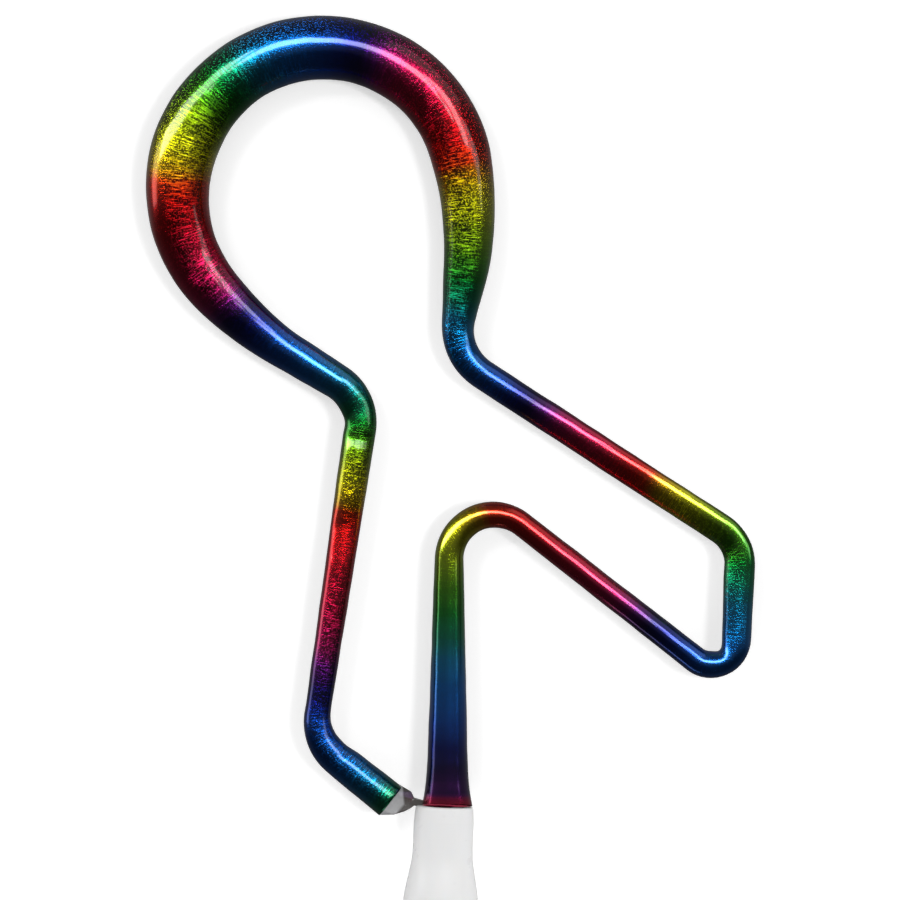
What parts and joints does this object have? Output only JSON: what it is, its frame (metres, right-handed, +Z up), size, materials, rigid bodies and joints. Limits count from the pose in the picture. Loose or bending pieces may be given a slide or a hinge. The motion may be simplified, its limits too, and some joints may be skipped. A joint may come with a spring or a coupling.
{
  "type": "bent tube ballpoint pen",
  "caption": "Ballpoint pen with a foil-wrapped hollow tube bent to a ribbon loop with angled tails, a swelling white barrel, a pull-off cap and a rolling ball point.",
  "frame": {"origin": "centre of the bottom of the pen's bounding box as it lies on a table", "axes": "+Y from the cap's closed end to the top of the ribbon loop, +X to the right, +Z up from the table"},
  "size_m": [0.075, 0.1802, 0.0094],
  "materials": {
    "rainbow_foil": "metallised rainbow film, glossy and finely crackled",
    "tube_plastic": "glossy translucent plastic, pinched at its free end",
    "white_plastic": "glossy moulded white",
    "refill_plastic": "translucent extruded tube",
    "ink": "thick ballpoint paste",
    "grease": "clear yellowish grease",
    "point_metal": "turned, nickelled",
    "ball_carbide": "polished"
  },
  "bodies": {
    "pen": {"bent_tube": "tube_plastic", "foil_wrap": "rainbow_foil", "barrel": "white_plastic", "nose_cone": "white_plastic", "refill_tube": "refill_plastic", "ink_column": "ink", "grease_follower": "grease", "writing_point": "point_metal"},
    "cap": {"cap": "white_plastic"},
    "ball": {"writing_ball": "ball_carbide"}
  },
  "joints": [
    {"name": "cap_pull", "type": "slide", "parent": "pen", "child": "cap", "axis": [0, -1, 0], "range_m": [0, 0.045]},
    {"name": "ball_roll", "type": "hinge", "parent": "pen", "child": "ball", "pos_m": [0.00146, -0.08185, 0.0047], "axis": [1, 0, 0], "continuous": true}
  ]
}
